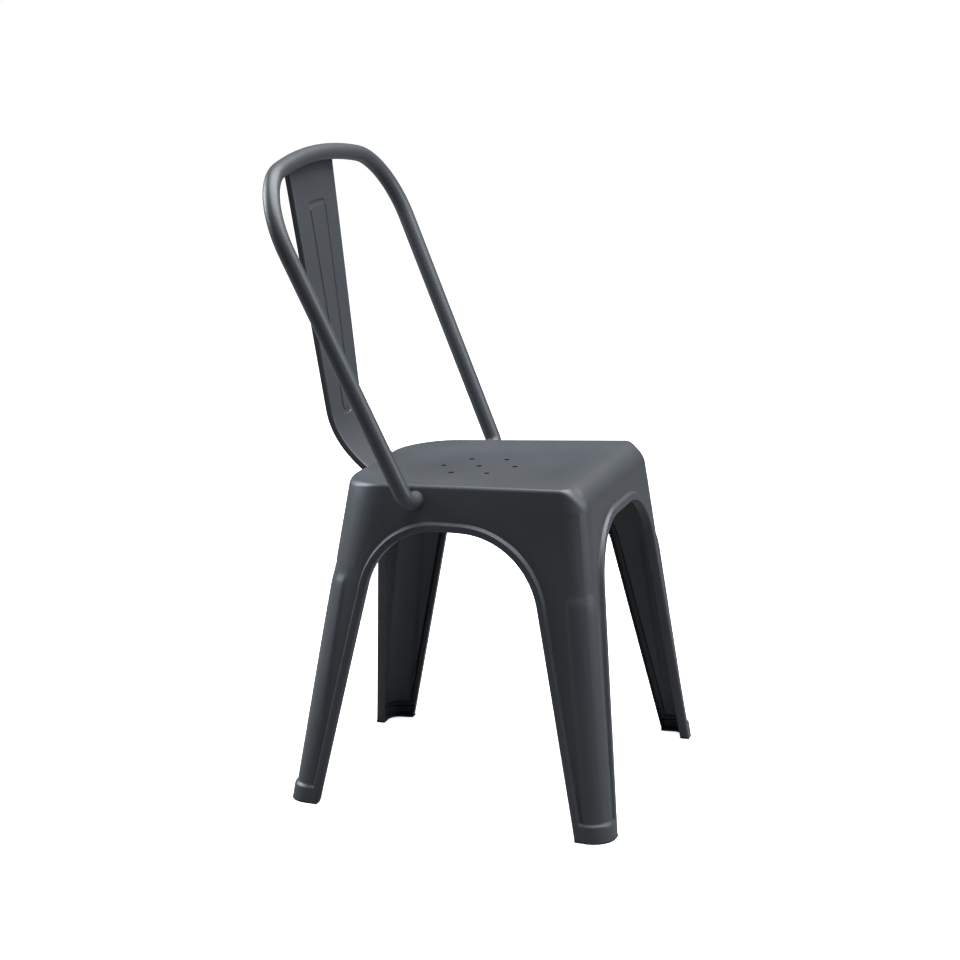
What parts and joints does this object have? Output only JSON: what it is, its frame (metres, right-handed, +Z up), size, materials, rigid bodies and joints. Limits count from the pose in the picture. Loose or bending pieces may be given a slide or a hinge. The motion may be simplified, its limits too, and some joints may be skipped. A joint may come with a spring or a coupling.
{
  "type": "metal bistro chair",
  "caption": "Stacking side chair of pressed sheet steel with tapered flared legs, arched aprons, a dished seat with drain holes, and a bent tube back hoop with a tapered slat.",
  "frame": {"origin": "on the floor under the middle of the chair's box", "axes": "+Z up, the sitter faces -Y, +X is the sitter's left"},
  "size_m": [0.4658, 0.4784, 0.851],
  "materials": {
    "frame_coat": "matte dark grey powder coat on sheet and tube steel",
    "seat_coat": "matte dark grey powder coat on pressed sheet steel",
    "glide_rubber": "black moulded rubber"
  },
  "bodies": {
    "root": {"leg_front_left": "frame_coat", "leg_front_right": "frame_coat", "leg_rear_left": "frame_coat", "leg_rear_right": "frame_coat", "foot_glide_front_left": "glide_rubber", "foot_glide_front_right": "glide_rubber", "foot_glide_rear_left": "glide_rubber", "foot_glide_rear_right": "glide_rubber", "seat_pan": "seat_coat", "back_hoop": "frame_coat", "back_splat": "seat_coat", "brace_bar_lower": "frame_coat", "brace_bar_upper": "frame_coat"}
  },
  "joints": []
}
